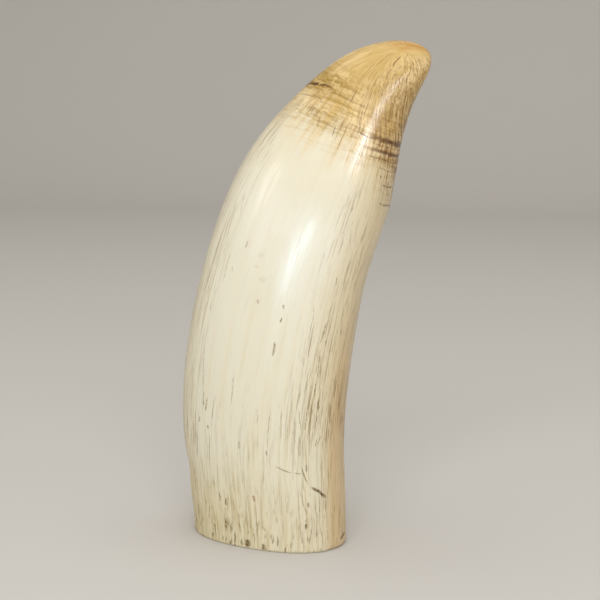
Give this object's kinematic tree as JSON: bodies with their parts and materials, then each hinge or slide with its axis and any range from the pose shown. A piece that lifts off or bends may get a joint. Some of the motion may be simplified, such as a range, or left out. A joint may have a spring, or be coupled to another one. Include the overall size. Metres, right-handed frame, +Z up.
{
  "type": "whale tooth",
  "caption": "Polished sperm whale tooth, a tapering oval horn that leans over to a blunt stained tip and stands on its flat sawn root.",
  "frame": {"origin": "on the standing surface, under the middle of the tooth's box", "axes": "+Z up from the sawn root, +X the way that the tip leans, -Y the broad face that the picture shows"},
  "size_m": [0.088, 0.046, 0.1768],
  "materials": {
    "ivory": "polished, cream with tan grain lines and a brown-banded tip"
  },
  "bodies": {
    "root": {"tooth": "ivory"}
  },
  "joints": []
}
